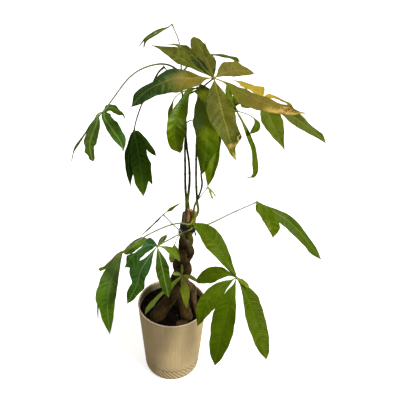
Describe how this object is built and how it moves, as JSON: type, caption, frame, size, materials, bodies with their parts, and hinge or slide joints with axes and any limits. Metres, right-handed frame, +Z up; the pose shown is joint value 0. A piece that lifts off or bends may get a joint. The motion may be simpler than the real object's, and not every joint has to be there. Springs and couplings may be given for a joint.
{
  "type": "potted money tree",
  "caption": "Money tree with a plaited trunk, thin upright shoots and palmate leaves on long stalks, in a tapered round pot of soil.",
  "frame": {"origin": "middle of the pot's foot, in the plane that it stands on", "axes": "+Z up along the pot's axis, -Y towards the side that the picture shows, +X to its right"},
  "size_m": [0.5088, 0.3377, 0.8049],
  "materials": {
    "pot": "matt beige plastic",
    "soil": "dark, loose and rough potting mix of peat and bark",
    "bark": "matt, finely cracked young bark",
    "tie": "dark woven band",
    "green_stem": "smooth green-brown stem",
    "leaf_fading": "semi-gloss, green turning yellow",
    "leaf_mature": "semi-gloss green",
    "leaf_dark": "semi-gloss dark green",
    "leaf_young": "semi-gloss yellow-green"
  },
  "bodies": {
    "root": {"pot": "pot", "soil": "soil", "sapling_right": "bark", "sapling_middle": "bark", "sapling_left": "bark", "tie": "tie", "shoot_left": "green_stem", "shoot_right": "green_stem", "shoot_middle": "green_stem", "leaf_crown": "leaf_fading", "leaf_back": "leaf_mature", "leaf_right": "leaf_mature", "leaf_right_low": "leaf_mature", "leaf_under": "leaf_mature", "leaf_under_back": "leaf_mature", "leaf_arch": "leaf_dark", "leaf_hanging": "leaf_dark", "leaf_top": "leaf_dark", "leaf_far_right": "leaf_mature", "leaf_front_right": "leaf_mature", "leaf_small": "leaf_young", "leaf_mid_left": "leaf_dark", "leaf_far_left": "leaf_dark", "leaf_up_left": "leaf_mature", "leaf_tiny": "leaf_young", "leaf_new": "leaf_young"}
  },
  "joints": []
}
